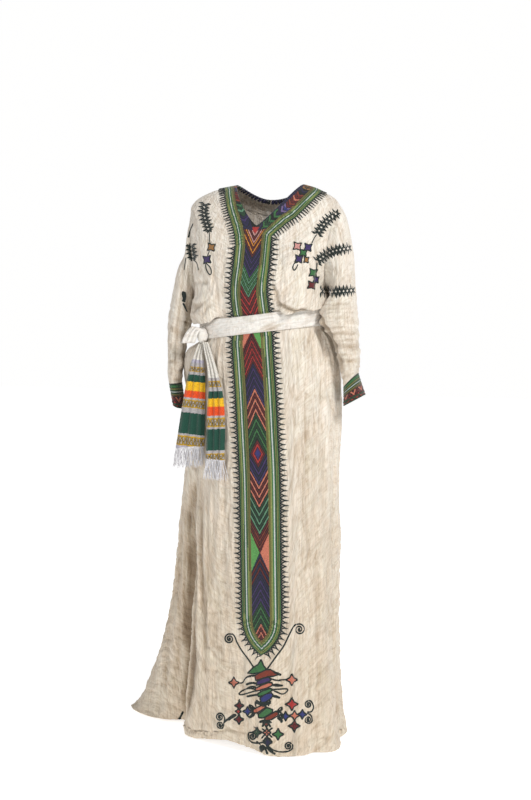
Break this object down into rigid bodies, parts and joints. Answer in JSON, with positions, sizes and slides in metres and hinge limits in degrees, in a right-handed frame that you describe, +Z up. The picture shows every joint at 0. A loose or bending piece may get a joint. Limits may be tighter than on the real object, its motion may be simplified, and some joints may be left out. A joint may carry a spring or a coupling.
{
  "type": "dress",
  "caption": "Floor-length worn dress in crinkled cotton with an embroidered front panel and neckband, long sleeves and a knotted waist sash with fringed ends.",
  "frame": {"origin": "middle of the shoulder line, where the wearer's shoulders carry the dress", "axes": "+Z up towards the neck, the front with the embroidered panel faces -Y, +X is the wearer's left"},
  "size_m": [0.662, 0.4694, 1.3899],
  "materials": {
    "cotton_gauze": "crinkled gauze",
    "embroidered_band": "embroidered",
    "cuff_band": "embroidered",
    "sash_cloth": "woven",
    "striped_cloth": "woven stripes",
    "fringe_yarn": "twisted yarn"
  },
  "bodies": {
    "root": {"front_bodice": "cotton_gauze", "front_skirt_upper": "cotton_gauze", "front_skirt_lower": "cotton_gauze", "back_bodice": "cotton_gauze", "back_skirt_upper": "cotton_gauze", "back_skirt_lower": "cotton_gauze", "sleeve_left": "cotton_gauze", "sleeve_right": "cotton_gauze", "band_front": "embroidered_band", "band_back": "embroidered_band", "cuff_left": "cuff_band", "cuff_right": "cuff_band", "sash_waist": "sash_cloth", "sash_knot": "sash_cloth", "sash_loop": "sash_cloth", "sash_tail_front": "striped_cloth", "sash_tail_back": "striped_cloth", "fringe_front": "fringe_yarn", "fringe_back": "fringe_yarn"}
  },
  "joints": []
}
